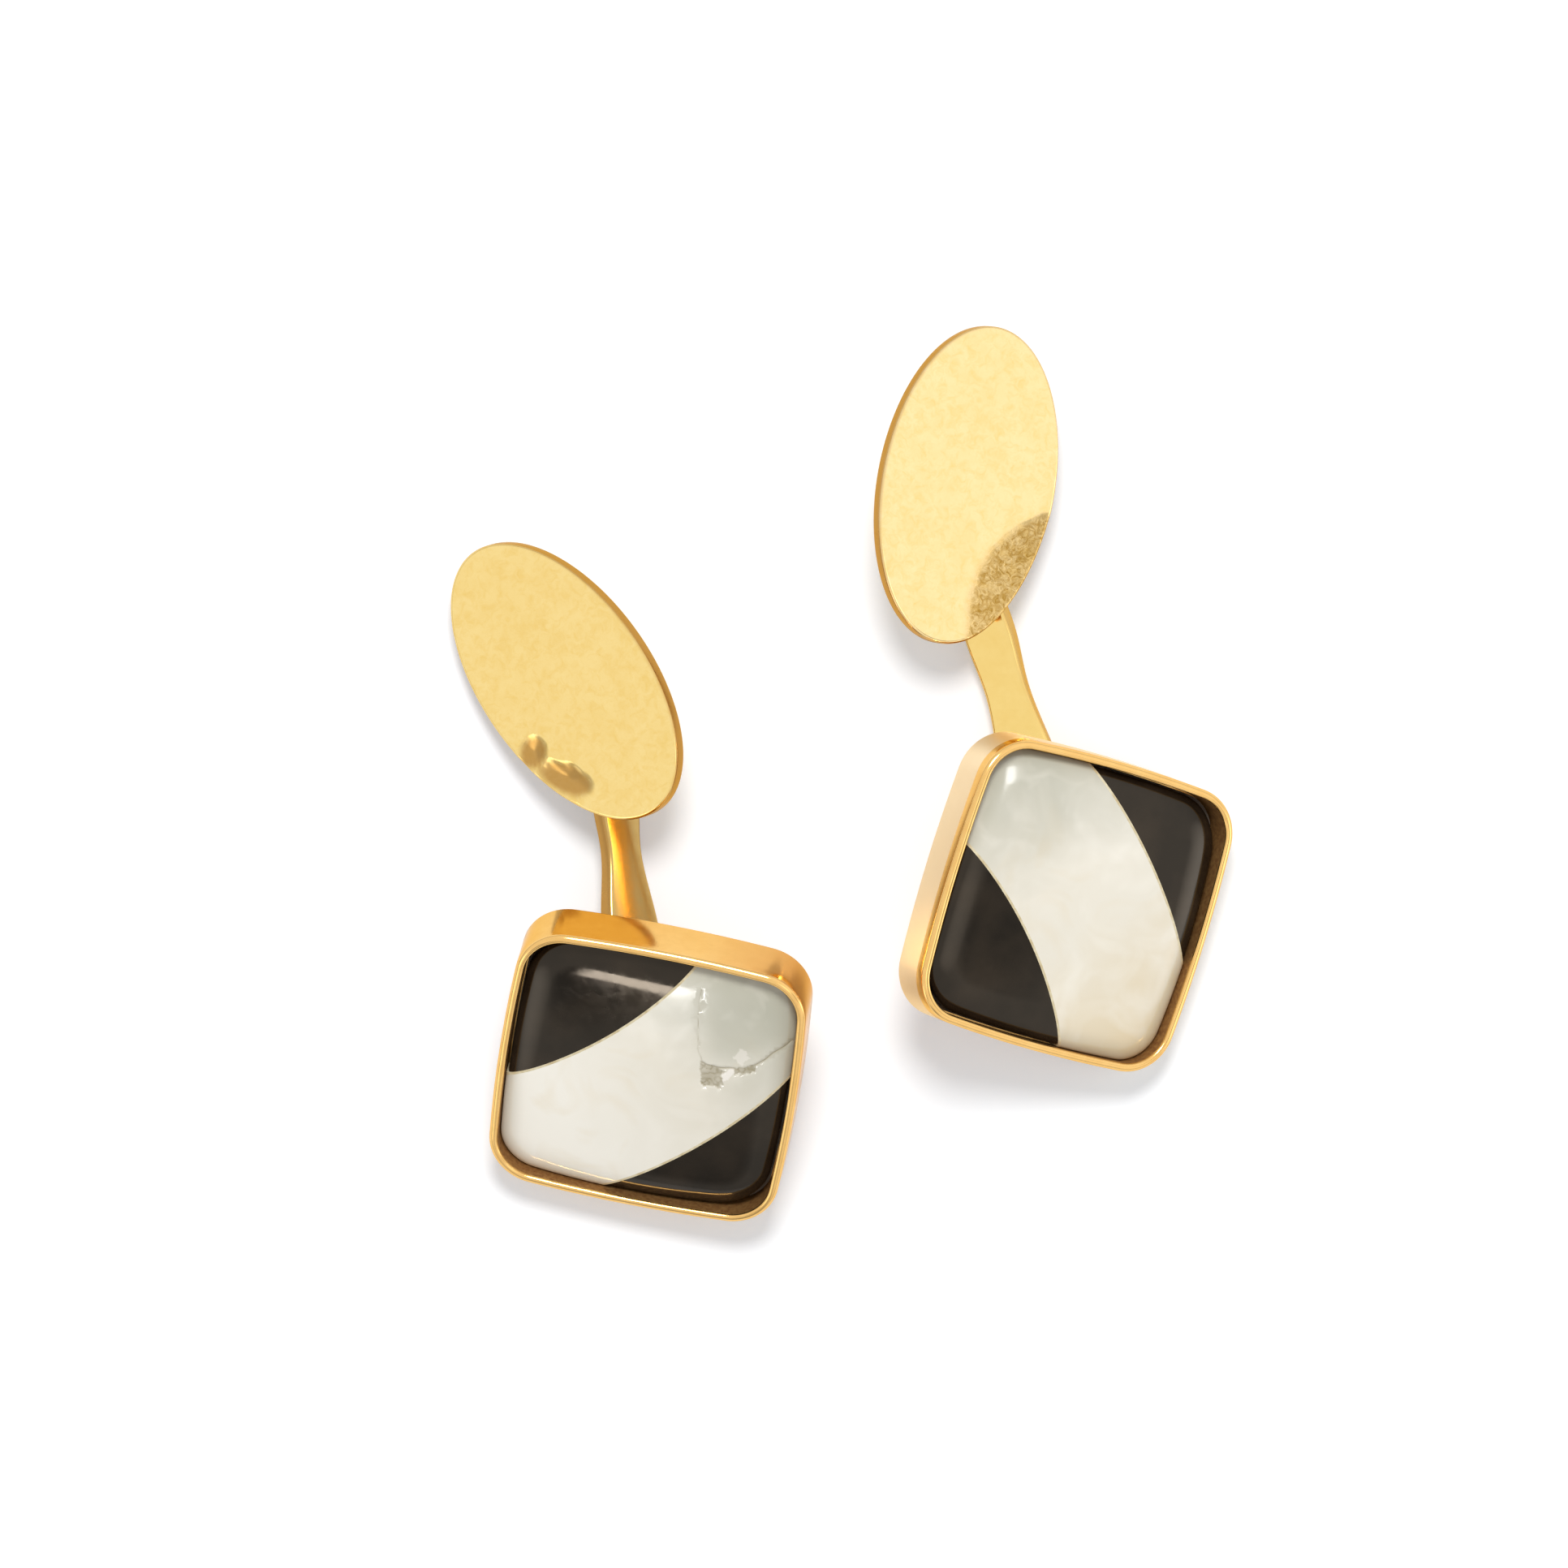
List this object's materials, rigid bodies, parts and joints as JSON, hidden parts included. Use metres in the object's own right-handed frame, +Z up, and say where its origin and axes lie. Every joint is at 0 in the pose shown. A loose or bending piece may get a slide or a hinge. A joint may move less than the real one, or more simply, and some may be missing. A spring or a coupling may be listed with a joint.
{
  "type": "cufflink pair",
  "caption": "Square gold cufflinks with a black onyx and mother-of-pearl inlay in a bowed box bezel, on waisted curved posts with riveted oval toggle plates that swivel to close.",
  "frame": {"origin": "on the table, under the middle of the pair as it lies in the picture", "axes": "+Z up from the table, +X to the right and +Y away from the viewer of the picture, which looks straight down"},
  "size_m": [0.039, 0.0446, 0.0104],
  "materials": {
    "gold": "polished yellow gold with fine scratches",
    "onyx": "polished opaque black stone",
    "mother_of_pearl": "polished opaque nacre with a soft sheen",
    "seam_cement": "thin tan cement line, polished flush",
    "bed_cement": "dull dark setting cement"
  },
  "bodies": {
    "fronts": {"left_bezel_wall": "gold", "left_back_plate": "gold", "left_stone_bed": "bed_cement", "left_onyx_inner": "onyx", "left_seam_inner": "seam_cement", "left_pearl_band": "mother_of_pearl", "left_seam_outer": "seam_cement", "left_onyx_outer": "onyx", "left_post": "gold", "right_bezel_wall": "gold", "right_back_plate": "gold", "right_stone_bed": "bed_cement", "right_onyx_inner": "onyx", "right_seam_inner": "seam_cement", "right_pearl_band": "mother_of_pearl", "right_seam_outer": "seam_cement", "right_onyx_outer": "onyx", "right_post": "gold"},
    "left_toggle": {"left_toggle_plate": "gold", "left_hinge_bracket": "gold", "left_hinge_pin": "gold"},
    "right_toggle": {"right_toggle_plate": "gold", "right_hinge_bracket": "gold", "right_hinge_pin": "gold"}
  },
  "joints": [
    {"name": "left_toggle_swivel", "type": "hinge", "parent": "fronts", "child": "left_toggle", "pos_m": [-0.01283, 0.00494, 0.00199], "axis": [-0.6571, -0.6016, -0.4542], "range_deg": [0, 90]},
    {"name": "right_toggle_swivel", "type": "hinge", "parent": "fronts", "child": "right_toggle", "pos_m": [0.00547, 0.01449, 0.00238], "axis": [-0.9029, 0.1847, 0.3881], "range_deg": [0, 90]}
  ]
}
